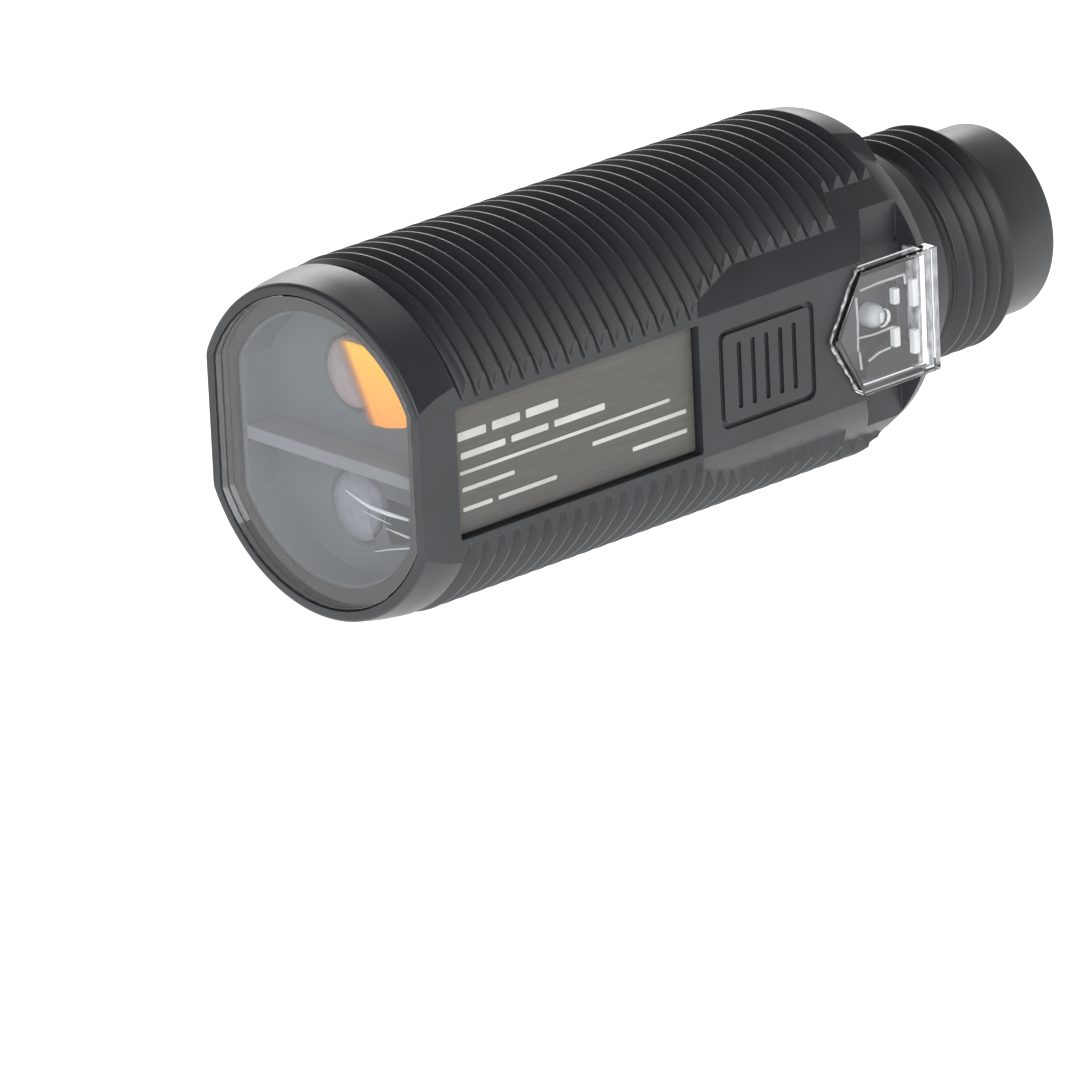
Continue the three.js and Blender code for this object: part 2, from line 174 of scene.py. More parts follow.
def along_x(name, outline, low, high):
    """Outline of (station, z) corners pushed along X."""
    return pushed(name, outline, low, high, lambda station, z, x: (x, at(station), z))


def along_z(name, outline, low, high):
    """Outline of (station, x) corners pushed along Z."""
    return pushed(name, outline, low, high, lambda station, x, z: (x, at(station), z))


def block(name, x, station, z):
    """Box between two values of x, station and z."""
    return along_x(name, rectangle(station, z), x[0], x[1])


def rectangle(first, second):
    """Corners of a rectangle, as (first, second) pairs."""
    return [(first[0], second[0]), (first[1], second[0]), (first[1], second[1]), (first[0], second[1])]


def pointed(tip, shoulder, rear, half):
    """Outline (station, z) of an oblong with a pointed front end."""
    return [(tip, 0), (shoulder, -half), (rear, -half), (rear, half), (shoulder, half)]


def rounded_rectangle(first, second, radius, steps=6):
    """Corners of a rectangle with rounded corners, as (first, second) pairs."""
    points = []
    corners = [(1, 1, 0), (-1, 1, 90), (-1, -1, 180), (1, -1, 270)]
    for side_a, side_b, turn in corners:
        a = (first[1] - radius) if side_a > 0 else (first[0] + radius)
        b = (second[1] - radius) if side_b > 0 else (second[0] + radius)
        for step in range(steps + 1):
            angle = math.radians(turn + 90 * step / steps)
            points.append((a + radius * math.cos(angle), b + radius * math.sin(angle)))
    return points


def tube(name, points, radii, sides):
    """Closed round bead through the points, with one radius for each of them."""
    vertices = []
    for index, point in enumerate(points):
        before = Vector(points[max(index - 1, 0)])
        after = Vector(points[min(index + 1, len(points) - 1)])
        heading = (after - before).normalized()
        first = heading.orthogonal().normalized()
        second = heading.cross(first)
        for side in range(sides):
            angle = 2 * math.pi * side / sides
            offset = first * math.cos(angle) + second * math.sin(angle)
            vertices.append(tuple(Vector(point) + offset * radii[index]))
    faces = [tuple(range(sides)), tuple(range(len(vertices) - 1, len(vertices) - sides - 1, -1))]
    for index in range(len(points) - 1):
        for side in range(sides):
            after = (side + 1) % sides
            low = index * sides
            faces.append((low + side, low + after, low + sides + after, low + sides + side))
    return mesh_object(name, vertices, faces)


def crown(radius, rim, top, steps):
    """Quarter ellipse of (radius, station) from just above the rim to the axis at the top."""
    angles = [math.pi / 2 * step / steps for step in range(1, steps)]
    rise = top - rim
    return [(radius * math.cos(a), rim + rise * math.sin(a)) for a in angles] + [(0, top)]


def double_d(radius, flat, steps=40):
    """Round section cut flat on the left and on the right, as (x, z) pairs."""
    corner = math.acos(flat / radius)
    points = []
    for start in (corner, math.pi + corner):
        for step in range(steps + 1):
            angle = start + (math.pi - 2 * corner) * step / steps
            points.append((radius * math.cos(angle), radius * math.sin(angle)))
    return points


def combine(body, tool, operation):
    """Boolean of two closed bodies. The tool is used up."""
    modifier = body.modifiers.new("combine", "BOOLEAN")
    modifier.operation = operation
    modifier.solver = "MANIFOLD"
    modifier.object = tool
    graph = bpy.context.evaluated_depsgraph_get()
    result = bpy.data.meshes.new_from_object(body.evaluated_get(graph))
    body.modifiers.clear()
    body.data = result
    bpy.data.objects.remove(tool)


def cut(body, *tools):
    """Takes the tools away from the body."""
    for tool in tools:
        combine(body, tool, "DIFFERENCE")


def rounded(body, width, segments=2, angle=35):
    """Rounds the edges that are sharper than the angle."""
    shape = bmesh.new()
    shape.from_mesh(body.data)
    limit = math.radians(angle)
    edges = [e for e in shape.edges if len(e.link_faces) == 2 and e.calc_face_angle(0) > limit]
    bmesh.ops.bevel(
        shape,
        geom=edges,
        offset=width,
        offset_type="OFFSET",
        segments=segments,
        profile=0.5,
        affect="EDGES",
        clamp_overlap=True,
    )
    shape.to_mesh(body.data)
    shape.free()


def finish_piece(obj, material, replaces=(), sharp=12):
    """Scales a piece to metres, smooths it, paints it and lets it ride on the part's body."""
    obj.data.transform(Matrix.Scale(MM, 4))
    obj.data.shade_smooth()
    obj.data.set_sharp_from_angle(angle=math.radians(sharp))
    obj.data.materials.clear()
    obj.data.materials.append(material)
    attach(obj, "root")
    if replaces:
        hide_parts(*replaces)


def screw(name, profile, first, turns, columns):
    """Right-hand screw as one closed body. The profile lists (share of the pitch, radius)."""
    rows_per_turn = len(profile)
    rows = turns * rows_per_turn
    vertices = []
    numbers = {}

    def vertex(column, row):
        if column == columns:
            return vertex(0, row + rows_per_turn)
        if (column, row) not in numbers:
            share, radius = profile[row % rows_per_turn]
            angle = -2 * math.pi * column / columns
            station = first + PITCH * (row // rows_per_turn + share + column / columns)
            numbers[(column, row)] = len(vertices)
            vertices.append((radius * math.cos(angle), at(station), radius * math.sin(angle)))
        return numbers[(column, row)]

    faces = []
    for column in range(columns):
        for row in range(rows):
            faces.append((
                vertex(column, row),
                vertex(column + 1, row),
                vertex(column + 1, row + 1),
                vertex(column, row + 1),
            ))
    start = len(vertices)
    vertices.append((0, at(first - PITCH), 0))
    end = len(vertices)
    vertices.append((0, at(first + PITCH * (turns + 2)), 0))
    for column in range(columns):
        faces.append((vertex(column + 1, 0), vertex(column, 0), start))
        faces.append((vertex(column, rows), vertex(column + 1, rows), end))
    for row in range(rows_per_turn):
        faces.append((vertex(0, row), vertex(0, row + 1), start))
        faces.append((vertex(0, rows + row + 1), vertex(0, rows + row), end))
    return mesh_object(name, vertices, faces)


def thread_profile(crest, root):
    """One pitch of a metric thread with a rounded crest and a rounded root."""
    depth = crest - root
    return [
        (0.00, crest),
        (0.05, crest - 0.02 * depth),
        (0.09, crest - 0.09 * depth),
        (0.34, root + 0.10 * depth),
        (0.39, root + 0.02 * depth),
        (0.61, root + 0.02 * depth),
        (0.66, root + 0.10 * depth),
        (0.91, crest - 0.09 * depth),
        (0.95, crest - 0.02 * depth),
    ]


# ------------------------ materials
BEVEL_SAMPLES = 6
EDGE_LIGHT_START, EDGE_LIGHT_END = 0.86, 0.99  # cosine between the rounded and the flat normal at an edge with a painted highlight


def principled(material):
    """The material's Principled shader."""
    return material.node_tree.nodes["Principled BSDF"]


def new_material(name, colour, roughness, **values):
    """Material with one Principled shader."""
    material = bpy.data.materials.new(name)
    material.use_nodes = True
    shader = principled(material)
    shader.inputs["Base Color"].default_value = (*colour, 1)
    shader.inputs["Roughness"].default_value = roughness
    for key, value in values.items():
        shader.inputs[key.replace("_", " ")].default_value = value
    return material


def node(material, kind, **values):
    """New shader node with the given input values and settings."""
    made = material.node_tree.nodes.new("ShaderNode" + kind)
    for key, value in values.items():
        if key in made.inputs:
            made.inputs[key].default_value = value
        else:
            setattr(made, key, value)
    return made


def link(material, source, target):
    """Joins an output socket to an input socket."""
    material.node_tree.links.new(source, target)


def noise(material, size_mm, detail=3.0, stretch=(1, 1, 1)):
    """Noise with features of about this size. stretch above 1 makes them finer along that axis."""
    place = node(material, "TexCoord")
    mapping = node(material, "Mapping")
    mapping.inputs["Scale"].default_value = stretch
    texture = node(material, "TexNoise", Scale=1 / (size_mm * MM), Detail=detail)
    link(material, place.outputs["Object"], mapping.inputs["Vector"])
    link(material, mapping.outputs["Vector"], texture.inputs["Vector"])
    return texture.outputs["Fac"]


def ranged(material, source, low, high, start=0.3, end=0.7):
    """Socket that goes from low to high as the source goes from start to end."""
    spread = node(material, "MapRange")
    spread.inputs["From Min"].default_value = start
    spread.inputs["From Max"].default_value = end
    spread.inputs["To Min"].default_value = low
    spread.inputs["To Max"].default_value = high
    link(material, source, spread.inputs["Value"])
    return spread.outputs["Result"]


def mixed(material, factor, first, second):
    """Colour between two colours, each of them a tuple or a socket."""
    mix = node(material, "Mix", data_type="RGBA")
    link(material, factor, mix.inputs["Factor"])
    colour_inputs = [socket for socket in mix.inputs if socket.type == "RGBA"]
    for socket, colour in zip(colour_inputs, (first, second)):
        if isinstance(colour, tuple):
            socket.default_value = (*colour, 1)
        else:
            link(material, colour, socket)
    return [socket for socket in mix.outputs if socket.type == "RGBA"][0]


def feed(material, **sockets):
    """Joins output sockets to the Principled shader's inputs of these names."""
    for key, socket in sockets.items():
        link(material, socket, principled(material).inputs[key.replace("_", " ")])


def grained(material, height, strength, depth, edge=0.0):
    """Relief from a height socket, over edges rounded by this radius. Returns the rounded normal."""
    bump = node(material, "Bump", Strength=strength, Distance=depth * MM)
    link(material, height, bump.inputs["Height"])
    feed(material, Normal=bump.outputs["Normal"])
    if not edge:
        return None
    soft_edge = node(material, "Bevel", samples=BEVEL_SAMPLES, Radius=edge * MM)
    link(material, soft_edge.outputs["Normal"], bump.inputs["Normal"])
    return soft_edge.outputs["Normal"]


def moulded(name, colour, lit_edge_colour, roughness, grain=0.06, relief=0.006, edge=0.05, cloud=1.35):
    """Moulded plastic: fine grain, slow colour and gloss changes, rounded edges with a lighter painted
    highlight along them.
    """
    material = new_material(name, colour, 0.5)
    fine = noise(material, grain, 4.0)
    slow = noise(material, 3.0, 2.0)
    soft_normal = grained(material, fine, 0.6, relief, edge)
    flat = node(material, "NewGeometry")
    along = node(material, "VectorMath", operation="DOT_PRODUCT")
    link(material, soft_normal, along.inputs[0])
    link(material, flat.outputs["Normal"], along.inputs[1])
    # Painted highlight: where the rounded normal turns away from the flat one, the edge takes the
    # lighter colour.
    edge_light = ranged(material, along.outputs["Value"], 1.0, 0.0, EDGE_LIGHT_START, EDGE_LIGHT_END)
    clouded = tuple(channel * cloud for channel in colour)
    cloudy = mixed(material, ranged(material, slow, 0.0, 1.0), colour, clouded)
    gloss = ranged(material, fine, roughness[0], roughness[1])
    feed(material, Base_Color=mixed(material, edge_light, cloudy, lit_edge_colour), Roughness=gloss)
    return material


def see_through(name, tint, roughness, ior, dust=0.02):
    """Clear plastic that lets lamps light what is behind it, with a trace of dust in its gloss."""
    material = new_material(name, tint, roughness, Transmission_Weight=1.0, IOR=ior)
    smear = noise(material, 1.5, 4.0)
    feed(material, Roughness=ranged(material, smear, roughness, roughness + dust))
    path = node(material, "LightPath")
    clear = node(material, "BsdfTransparent")
    clear.inputs["Color"].default_value = (*tint, 1)
    mix = node(material, "MixShader")
    link(material, path.outputs["Is Shadow Ray"], mix.inputs["Fac"])
    link(material, principled(material).outputs["BSDF"], mix.inputs[1])
    link(material, clear.outputs["BSDF"], mix.inputs[2])
    output = material.node_tree.nodes["Material Output"]
    link(material, mix.outputs["Shader"], output.inputs["Surface"])
    return material


def streaked(name, dark, light, roughness, size_mm, stretch):
    """Plastic streaked in two tones."""
    material = new_material(name, light, 0.3)
    streaks = noise(material, size_mm, 3.0, stretch)
    colour = mixed(material, ranged(material, streaks, 0, 1), dark, light)
    gloss = ranged(material, streaks, roughness[0], roughness[1])
    feed(material, Base_Color=colour, Roughness=gloss)
    grained(material, streaks, 0.5, 0.01)
    return material


# Each moulded plastic: name, colour, colour of the painted highlight along its edges, lowest and highest
# roughness.
BLACK_PLASTIC = moulded("black_plastic", (0.024, 0.026, 0.030), (0.085, 0.087, 0.092), (0.33, 0.42))
PLUG_PLASTIC = moulded("plug_plastic", (0.022, 0.0235, 0.027), (0.08, 0.082, 0.087), (0.33, 0.42))
MASK_PLASTIC = moulded("mask_plastic", (0.006, 0.006, 0.0065), (0.012, 0.012, 0.012), (0.6, 0.7),
                       grain=0.1, relief=0.001, cloud=1.1)
OPTICS_PLASTIC = moulded("optics_plastic", (0.132, 0.150, 0.162), (0.15, 0.165, 0.18), (0.5, 0.65),
                         grain=0.08, relief=0.003, cloud=1.1)
BAFFLE_PLASTIC = moulded("baffle_plastic", (0.237, 0.245, 0.265), (0.28, 0.29, 0.31), (0.45, 0.6),
                         cloud=1.1)
CARRIER_PLASTIC = moulded("carrier_plastic", (0.035, 0.037, 0.04), (0.2, 0.2, 0.2), (0.3, 0.45))
RUBBER = moulded("seal_rubber", (0.012, 0.012, 0.012), (0.02, 0.02, 0.02), (0.7, 0.85),
                 grain=0.1, relief=0.02)
EPOXY = moulded("chip_epoxy", (0.02, 0.02, 0.022), (0.05, 0.05, 0.05), (0.45, 0.6),
                grain=0.05, relief=0.008)
LAMINATE = moulded("board_laminate", (0.015, 0.10, 0.045), (0.1, 0.2, 0.1), (0.3, 0.45),
                   grain=0.3, relief=0.01)
CERAMIC = moulded("capacitor_ceramic", (0.45, 0.24, 0.06), (0.6, 0.4, 0.2), (0.4, 0.55), grain=0.1)
EMITTER_LENS = moulded("emitter_lens_plastic", (0.40, 0.316, 0.312), (0.42, 0.35, 0.34), (0.25, 0.35),
                       grain=0.3, relief=0.001, cloud=1.08)
RECEIVER_LENS = moulded("receiver_lens_plastic", (0.27, 0.274, 0.307), (0.30, 0.31, 0.34),
                        (0.25, 0.35), grain=0.3, relief=0.001, cloud=1.08)
GLINT_PLASTIC = moulded("glint_plastic", (0.75, 0.78, 0.80), (0.9, 0.9, 0.9), (0.2, 0.3),
                        grain=0.1, relief=0.002, edge=0.02)
INK = moulded("label_ink", (0.52, 0.51, 0.49), (0.5, 0.5, 0.48), (0.45, 0.6),
              grain=0.05, relief=0.002, edge=0.005)
RESIN = moulded("milky_resin", (0.62, 0.63, 0.63), (0.7, 0.7, 0.7), (0.12, 0.2),
                grain=0.2, relief=0.002, edge=0.02)
LED_RESIN = moulded("led_resin", (0.46, 0.48, 0.50), (0.6, 0.6, 0.6), (0.08, 0.15),
                    grain=0.2, relief=0.001)
# Grey for the beads under the cover, which are painted highlights along its inner edges.
GLINT_GREY = moulded("glint_line_grey", (0.42, 0.43, 0.44), (0.6, 0.6, 0.6), (0.2, 0.3), grain=0.1, relief=0.002)
# Each clear plastic: name, tint, roughness, refractive index.
WINDOW_PLASTIC = see_through("window_plastic", (0.86, 0.88, 0.90), 0.0, 1.49, dust=0.012)
COVER_PLASTIC = see_through("cover_plastic", (0.95, 0.96, 0.97), 0.02, 1.49)
PRISM_PLASTIC = see_through("prism_plastic", (0.93, 0.94, 0.95), 0.12, 1.12)
# Each streaked plastic: name, dark tone, light tone, roughness, size of the streaks, stretch.
BEAD_PLASTIC = streaked("sealing_bead", (0.06, 0.06, 0.065), (0.9, 0.9, 0.9), (0.1, 0.3), 0.4,
                        (1, 1.5, 1))
# The foot's streaks are painted reflection: the mottled light that the clear cover reflects inside its
# rear end.
REFLECTION_STREAKS = streaked("painted_reflection_streaks", (0.09, 0.095, 0.10), (0.62, 0.63, 0.64), (0.15, 0.4), 0.5,
                 (1.5, 3.0, 0.7))


def label_material():
    """Warm grey printed film with the fine parallel lines of a brushed print."""
    material = new_material("label_film", (0.1, 0.096, 0.088), 0.45)
    lines = noise(material, 0.35, 2.0, (1, 0.12, 5))
    specks = noise(material, 0.12, 4.0)
    share = ranged(material, lines, 0, 1)
    colour = mixed(material, share, (0.095, 0.091, 0.083), (0.120, 0.115, 0.105))
    feed(material, Base_Color=colour, Roughness=ranged(material, specks, 0.38, 0.52))
    grained(material, lines, 0.4, 0.003, 0.03)
    return material


def contact_material():
    """Gold-plated contact metal with fine turning lines."""
    material = new_material("contact_gold", (0.83, 0.62, 0.28), 0.25, Metallic=1.0)
    lines = noise(material, 0.2, 3.0, (1, 6, 1))
    tone = mixed(material, ranged(material, lines, 0, 1), (0.78, 0.56, 0.24), (0.88, 0.68, 0.34))
    feed(material, Base_Color=tone, Roughness=ranged(material, lines, 0.16, 0.34))
    return material


AMBER_FADE_X = (2.4, 3.6)         # where the sheet's glow starts and where it is full, at z 0
AMBER_LEAN = 0.515                # how far that moves inwards for each millimetre of height
AMBER_HEIGHT = (1.6, 5.2)         # z of its lower and of its upper colour
AMBER_LOW_GLOW = (1.0, 0.27, 0.0)
AMBER_HIGH_GLOW = (1.0, 0.49, 0.0)
AMBER_EDGE_GLOW = (0.60, 0.20, 0.07)
AMBER_STRENGTH = (0.03, 1.12)
AMBER_OPACITY = 0.85


def amber_material():
    """Amber sheet that glows towards its outer edge and fades out towards the middle."""
    material = new_material("amber_sheet", (0.9, 0.4, 0.08), 0.3)
    place = node(material, "TexCoord")
    split = node(material, "SeparateXYZ")
    link(material, place.outputs["Object"], split.inputs["Vector"])
    # The soft edge leans: it starts further out lower down.
    leaning = node(material, "Math", operation="MULTIPLY_ADD")
    link(material, split.outputs["Z"], leaning.inputs[0])
    leaning.inputs[1].default_value = AMBER_LEAN
    link(material, split.outputs["X"], leaning.inputs[2])
    start, end = (x * MM for x in AMBER_FADE_X)
    fade = ranged(material, leaning.outputs["Value"], 0.0, 1.0, start, end)
    start, end = (z * MM for z in AMBER_HEIGHT)
    height = ranged(material, split.outputs["Z"], 0.0, 1.0, start, end)
    body = mixed(material, height, AMBER_LOW_GLOW, AMBER_HIGH_GLOW)
    feed(
        material,
        Base_Color=mixed(material, fade, (0.10, 0.05, 0.02), (0.22, 0.08, 0.01)),
        Emission_Color=mixed(material, fade, AMBER_EDGE_GLOW, body),
        Emission_Strength=ranged(material, fade, *AMBER_STRENGTH, 0.15, 0.9),
        Alpha=ranged(material, fade, 0.0, 1.0, 0.0, AMBER_OPACITY),
    )
    return material


LABEL_FILM = label_material()
CONTACT_GOLD = contact_material()


# ------------------------ threaded barrel
SEAT_GAP = 0.06                   # between pieces that fit into each other
SEAT_FLAT = WINDOW_HIGH.x + SEAT_GAP
SEAT_RADIUS = WINDOW_HIGH.z + SEAT_GAP
SEAT_DEPTH = 1.5
BORE_FLAT = CARRIER_HIGH.x + SEAT_GAP
BORE_RADIUS = CARRIER_HIGH.z + SEAT_GAP
BORE_START = 1.0
RECESS_GAP = 0.1                  # around the label and around the indicator's cover

# Barrel thread: first crest, turns, and the stations where it rises from the root, is full, starts
# to fall and is back at the root.
FIRST_CREST = 0.4
BARREL_TURNS = 33
BARREL_COLUMNS = 160
THREAD_ENDS = (2.7, 3.4, 32.1, 32.5)

FRONT_RADIUS = 8.42
FRONT_EDGE = 0.22                 # radius of the rounded front edge
FRONT_COLLAR = [(8.62, 1.2), (8.76, 2.3), (8.75, 2.42), (8.68, 2.5), (BARREL_ROOT + 0.02, 2.78)]
THREAD_FLOOR = [(BARREL_ROOT, 2.85), (BARREL_ROOT, 32.5)]
REAR_TAPER = [(8.34, 32.75), (8.04, BARREL_LENGTH - 0.2), (7.98, BARREL_LENGTH - 0.07),
              (7.88, BARREL_LENGTH)]

# Half widths (station, x) to which the thread is planed down beside the flats.
THREAD_RELIEF = [(18.3, 7.57), (18.4, 7.25), (21.6, 6.52), (28.85, 6.52), (29.1, 5.15),
                 (PAST_REAR, 5.15)]
# Raised collar behind the thread, (radius, station), and the (x, z) outline that its ends follow.
REAR_COLLAR = [(0, 31.9), (BARREL_ROOT, 31.9), (8.70, 32.1), (8.79, 32.2), (8.80, 32.35),
               (8.66, 33.5), (8.58, 33.75), (8.42, 33.86), (0, 33.86)]
COLLAR_OUTLINE = [(4.2, 6.9), (2.0, 9.13), (-2.0, 9.13), (-4.2, 6.9), (-4.2, -6.9), (-2.0, -9.13),
                  (2.0, -9.13), (4.2, -6.9)]
COLLAR_OUTLINE_START = 31
# Half outline (station, z) of the recesses above and below the indicator, and the (station, x)
# section of the wall that closes them at the rear.
SIDE_POCKET = [(28.9, 2.0), (28.9, 3.3), (29.2, 3.45), (30.6, 5.65), (PAST_REAR, 5.65),
               (PAST_REAR, 2.0)]
POCKET_SECTION = [(28, BORE_FLAT), (33.0, BORE_FLAT), (33.6, OUTSIDE), (28, OUTSIDE)]

# Engraved panel between the label and the indicator.
PANEL_STATIONS = (19.6, 26.0)
PANEL_HALF_HEIGHT = 2.55
PANEL_GROOVE = 0.3                # width of every groove
PANEL_FLOOR = HALF_ACROSS_FLATS - 0.22
CROSS_GROOVES = 5
FIRST_CROSS_GROOVE = 20.8
CROSS_GROOVE_STEP = 0.92
CROSS_GROOVE_HALF_HEIGHT = 1.7


def barrel_thread():
    """Thread of the barrel, tapered at both ends and planed down beside the flats."""
    profile = thread_profile(BARREL_CREST, BARREL_ROOT)
    thread = screw("thread", profile, FIRST_CREST, BARREL_TURNS, BARREL_COLUMNS)
    top = BARREL_CREST + 0.05
    rise, full, fall, end = THREAD_ENDS
    envelope = turned("envelope", [
        (0, rise), (BARREL_ROOT + 0.1, rise), (top, full), (top, fall), (BARREL_ROOT - 0.1, end),
        (0, end),
    ], BARREL_SEGMENTS)
    combine(thread, envelope, "INTERSECT")
    for side in (1, -1):
        planed = [*THREAD_RELIEF, (PAST_REAR, OUTSIDE), (THREAD_RELIEF[0][0], OUTSIDE)]
        outline = [(station, side * x) for station, x in planed]
        cut(thread, along_z("relief", outline, -OUTSIDE, OUTSIDE))
    return thread


def barrel():
    """Threaded barrel with its flats, bore, recesses and engraved panel."""
    front_round = [
        (FRONT_RADIUS - FRONT_EDGE * (1 - math.sin(a)), FRONT_EDGE * (1 - math.cos(a)))
        for a in (math.radians(d) for d in range(0, 91, 18))
    ]
    core = turned("barrel_shell", [
        (0, 0), *front_round, *FRONT_COLLAR, *THREAD_FLOOR, *REAR_TAPER, (0, BARREL_LENGTH),
    ], BARREL_SEGMENTS)
    collar = turned("rear_collar", REAR_COLLAR, BARREL_SEGMENTS)
    ends = along_y("collar_ends", COLLAR_OUTLINE, COLLAR_OUTLINE_START, BARREL_LENGTH)
    combine(collar, ends, "INTERSECT")
    combine(core, barrel_thread(), "UNION")
    combine(core, collar, "UNION")
    across = (-HALF_ACROSS_FLATS, HALF_ACROSS_FLATS)
    flats = block("flats", across, (PAST_FRONT, PAST_BARREL), (-OUTSIDE, OUTSIDE))
    combine(core, flats, "INTERSECT")

    seat_outline = double_d(SEAT_RADIUS, SEAT_FLAT, ROUND_STEPS)
    cut(core, along_y("seat", seat_outline, PAST_FRONT, SEAT_DEPTH))
    bore_outline = double_d(BORE_RADIUS, BORE_FLAT, ROUND_STEPS)
    cut(core, along_y("bore", bore_outline, BORE_START, BARREL_LENGTH + 1))
    recess_z = (LABEL_LOW.z - RECESS_GAP, LABEL_HIGH.z + RECESS_GAP)
    recess_y = (LABEL_LOW.y - FRONT_FACE - RECESS_GAP, LABEL_HIGH.y - FRONT_FACE + RECESS_GAP)
    recess = rounded_rectangle(recess_y, recess_z, 0.15)
    cut(core, along_x("label_recess", recess, LABEL_LOW.x, OUTSIDE))
    tip = stations("indicator_window")[0] - RECESS_GAP
    seat = pointed(tip, tip + COVER_POINT, PAST_REAR + 1, COVER_HIGH.z + RECESS_GAP)
    cut(core, along_x("cover_seat", seat, BORE_FLAT, OUTSIDE))
    for side in (1, -1):
        outline = [(station, side * z) for station, z in SIDE_POCKET]
        pocket = along_x("pocket", outline, BORE_FLAT, OUTSIDE)
        combine(pocket, along_z("pocket_end", POCKET_SECTION, -OUTSIDE, OUTSIDE), "INTERSECT")
        cut(core, pocket)
    cut(core, *panel_grooves())
    finish_piece(core, BLACK_PLASTIC, ["barrel_housing"], sharp=24)


def panel_grooves():
    """Plain engraved panel: an oblong groove around short cross grooves."""
    first, last = PANEL_STATIONS
    half = PANEL_HALF_HEIGHT
    inside = half - PANEL_GROOVE
    outline = rounded_rectangle((first, last), (-half, half), 0.5)
    outer = along_x("panel", outline, PANEL_FLOOR, OUTSIDE - 1)
    inner = rounded_rectangle((first + PANEL_GROOVE, last - PANEL_GROOVE), (-inside, inside), 0.3)
    cut(outer, along_x("panel_inside", inner, PANEL_FLOOR - 1, OUTSIDE))
    tools = [outer]
    reach = (-CROSS_GROOVE_HALF_HEIGHT, CROSS_GROOVE_HALF_HEIGHT)
    for number in range(CROSS_GROOVES):
        start = FIRST_CROSS_GROOVE + CROSS_GROOVE_STEP * number
        shape = rounded_rectangle((start, start + PANEL_GROOVE), reach, 0.12)
        tools.append(along_x("cross_groove", shape, PANEL_FLOOR, OUTSIDE - 1))
    return tools


# ------------------------ sensing face and optics
MASK_OPENING = (6.9, 6.15)        # radius and half width between its flats
MASK_GAP = 0.02                   # behind the window
OPTICS_WELL = (6.75, 5.85)        # radius and half width between its flats
LENS_HEIGHT = 3.4                 # emitter lens above the axis, receiver lens below it
LENS_PLANE = 3.15                 # station of the rim of both lenses
LENS_BULGE = {"emitter_lens": 0.3, "receiver_lens": 0.45}
LENS_RIM = [(0, 4.5), (1.72, 4.5), (1.8, 4.42), (1.8, LENS_PLANE + 0.05)]
LENS_RADIUS = 1.78
LENS_SEAT = [(0, 0), (2.0, 0), (2.0, 3.2), (1.86, 3.34), (1.86, 4.6), (1.4, 4.6), (1.4, 5.2),
             (2.3, 5.2), (2.3, 9), (0, 9)]

AMBER_OUTLINE = [(-1.0, 5.3), (0.9, 1.4), (3.26, 1.54), (4.4, 1.8), (4.55, 1.86), (4.66, 1.95),
                 (4.72, 2.1), (4.7, 2.7), (4.45, 3.3), (3.8, 4.1), (3.1, 4.8), (2.4, 5.3)]

# Clear wedge beside the receiver lens, its prong, and pale beads along its edges as (x, z, radius); the
# beads are painted highlights that stand in for glints on the wedge.
WEDGE_OUTLINE = [(1.75, -2.5), (4.9, -2.6), (4.95, -4.1), (2.3, -4.95)]
PRONG_OUTLINE = [(0.4, -2.15), (0.42, -2.3), (1.9, -2.9), (1.9, -2.51)]
PRONG_DEPTH = 0.3
GUIDE_GLINTS = [
    [(0.42, -2.19, 0.03), (1.2, -2.42, 0.07), (2.17, -2.64, 0.11), (3.4, -2.68, 0.12),
     (4.86, -2.66, 0.08)],
    [(3.17, -3.47, 0.02), (4.0, -3.52, 0.05), (4.86, -3.57, 0.07)],
    [(2.34, -4.86, 0.02), (3.4, -4.5, 0.04), (4.85, -4.1, 0.05)],
    [(1.5, -2.95, 0.01), (2.6, -3.1, 0.03), (3.6, -3.2, 0.01)],
]
GLINT_AHEAD = 0.05                # of the wedge's front face


def sensing_face():
    """Window, the dark frame behind it, the grey moulding, its dividing wall and both lenses."""
    window_outline = double_d(WINDOW_HIGH.z, WINDOW_HIGH.x, ROUND_STEPS)
    first, last = stations("front_window")
    plate = along_y("window_plate", window_outline, first, last)
    rounded(plate, 0.07, segments=3, angle=60)
    finish_piece(plate, WINDOW_PLASTIC, ["front_window"])

    first, last = stations("window_mask")
    mask = along_y("window_frame", window_outline, first + MASK_GAP, last)
    cut(mask, along_y("opening", double_d(*MASK_OPENING, ROUND_STEPS), first - 1, last + 1))
    rounded(mask, 0.04, angle=60)
    finish_piece(mask, MASK_PLASTIC, ["window_mask"])

    first, last = stations("optics_carrier")
    carrier_outline = double_d(CARRIER_HIGH.z, CARRIER_HIGH.x, ROUND_STEPS)
    carrier = along_y("optics_bezel", carrier_outline, first, last)
    cut(carrier, along_y("well", double_d(*OPTICS_WELL, ROUND_STEPS), 0, LENS_PLANE))
    for side in (1, -1):
        cut(carrier, turned("seat", LENS_SEAT, FINE_SEGMENTS, (0, side * LENS_HEIGHT)))
    finish_piece(carrier, OPTICS_PLASTIC, ["optics_carrier"])

    low, high = box_mm("light_baffle")
    baffle = block("divider_wall", (low.x, high.x), stations("light_baffle"), (low.z, high.z))
    rounded(baffle, 0.06, segments=3)
    finish_piece(baffle, BAFFLE_PLASTIC, ["light_baffle"])

    lenses = (("emitter_lens", 1, EMITTER_LENS), ("receiver_lens", -1, RECEIVER_LENS))
    for name, side, material in lenses:
        profile = LENS_RIM + crown(LENS_RADIUS, LENS_PLANE, LENS_PLANE - LENS_BULGE[name], 12)
        dome = turned(name + "_dome", profile, FINE_SEGMENTS, (0, side * LENS_HEIGHT))
        finish_piece(dome, material, [name])


def amber_sheet():
    """Amber sheet at the outer side of the emitter's half."""
    first, last = stations("emitter_filter")
    sheet = along_y("amber_sheet", AMBER_OUTLINE, first, last)
    rounded(sheet, 0.03, angle=60)
    finish_piece(sheet, amber_material(), ["emitter_filter"])


